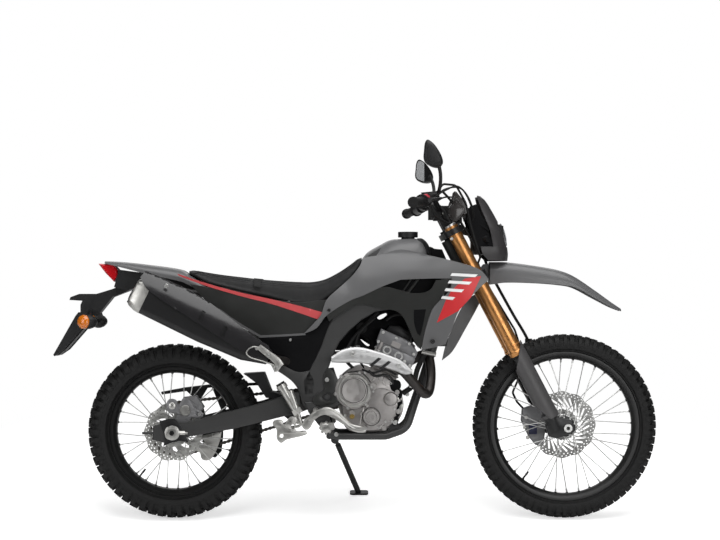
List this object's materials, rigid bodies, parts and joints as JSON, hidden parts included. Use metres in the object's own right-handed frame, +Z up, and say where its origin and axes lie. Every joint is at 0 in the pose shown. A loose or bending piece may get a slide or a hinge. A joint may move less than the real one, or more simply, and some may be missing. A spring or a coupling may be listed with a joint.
{
  "type": "dual sport motorcycle",
  "caption": "Dual sport motorcycle parked on its side stand: knobbly laced wheels, gold fork, single-cylinder engine, high muffler, slim seat and tank shrouds.",
  "frame": {"origin": "on the floor, under the middle of the parked machine's bounding box", "axes": "+X forward along the machine, +Y to the rider's left, +Z up; the machine leans 11 degrees to the left on its side stand"},
  "size_m": [2.2394, 0.9208, 1.4362],
  "materials": {
    "black_paint": "satin black paint",
    "engine_silver": "cast and painted silver",
    "black_plastic": "fine moulded grain",
    "dark_pipe": "heat-darkened steel",
    "bright_shield": "satin",
    "muffler_grey": "metallic dark grey",
    "grey_plastic": "moulded in colour, soft gloss",
    "dark_plastic": "semi gloss",
    "black_metal": "satin",
    "seat_cover": "grained vinyl",
    "red_lens": "clear red lens",
    "amber_lens": "clear amber lens",
    "zinc_steel": "zinc plated",
    "chain_steel": "oiled",
    "gold_anodised": "gold anodised",
    "clear_lens": "clear lens over reflector",
    "smoked_lens": "smoked lens",
    "grip_rubber": "matt",
    "tyre_rubber": "matt knobbly tread",
    "rim_black": "black anodised rim, steel spokes",
    "disc_steel": "ground"
  },
  "bodies": {
    "chassis": {"frame": "black_paint", "crankcase": "engine_silver", "cylinder": "engine_silver", "intake": "black_plastic", "exhaust_header": "dark_pipe", "heat_shield": "bright_shield", "muffler": "muffler_grey", "fuel_tank": "grey_plastic", "tank_shrouds": "grey_plastic", "radiator": "black_metal", "seat": "seat_cover", "side_covers": "dark_plastic", "tail_cover": "grey_plastic", "rear_fender": "black_plastic", "tail_light": "red_lens", "rear_signals": "amber_lens", "swingarm": "black_paint", "rear_axle": "zinc_steel", "shock": "black_metal", "chain": "chain_steel", "chain_guard": "black_plastic", "rear_caliper": "black_metal", "foot_controls": "zinc_steel", "skid_plate": "bright_shield"},
    "steering": {"triple_clamps": "black_metal", "fork_tubes": "gold_anodised", "fork_legs": "black_metal", "fork_guards": "grey_plastic", "front_axle": "zinc_steel", "front_fender": "grey_plastic", "headlight_cowl": "grey_plastic", "headlight": "clear_lens", "meter": "black_plastic", "handlebar": "black_metal", "grips": "grip_rubber", "controls": "black_metal", "mirrors": "black_plastic", "front_signals": "smoked_lens", "front_caliper": "black_metal", "brake_hose": "grip_rubber"},
    "front_wheel": {"front_tyre": "tyre_rubber", "front_rim": "rim_black", "front_disc": "disc_steel"},
    "rear_wheel": {"rear_tyre": "tyre_rubber", "rear_rim": "rim_black", "rear_disc": "disc_steel", "rear_sprocket": "disc_steel"},
    "side_stand": {"side_stand": "black_paint"},
    "fuel_cap": {"fuel_cap": "black_plastic"}
  },
  "joints": [
    {"name": "steering", "type": "hinge", "parent": "chassis", "child": "steering", "pos_m": [0.38214, -0.06753, 0.95498], "axis": [-0.4617, 0.1692, 0.8707], "range_deg": [-45, 45]},
    {"name": "front_wheel_spin", "type": "hinge", "parent": "steering", "child": "front_wheel", "pos_m": [0.77883, -0.19025, 0.33933], "axis": [0, 0.9816, -0.1908], "continuous": true},
    {"name": "rear_wheel_spin", "type": "hinge", "parent": "chassis", "child": "rear_wheel", "pos_m": [-0.67617, -0.18927, 0.3208], "axis": [0, 0.9816, -0.1908], "continuous": true},
    {"name": "stand_fold", "type": "hinge", "parent": "chassis", "child": "side_stand", "pos_m": [-0.07867, -0.07311, 0.25544], "axis": [0.2952, 0.8122, 0.5032], "range_deg": [0, 113]},
    {"name": "cap_lift", "type": "slide", "parent": "chassis", "child": "fuel_cap", "axis": [0, 0.1908, 0.9816], "range_m": [0, 0.06]}
  ]
}
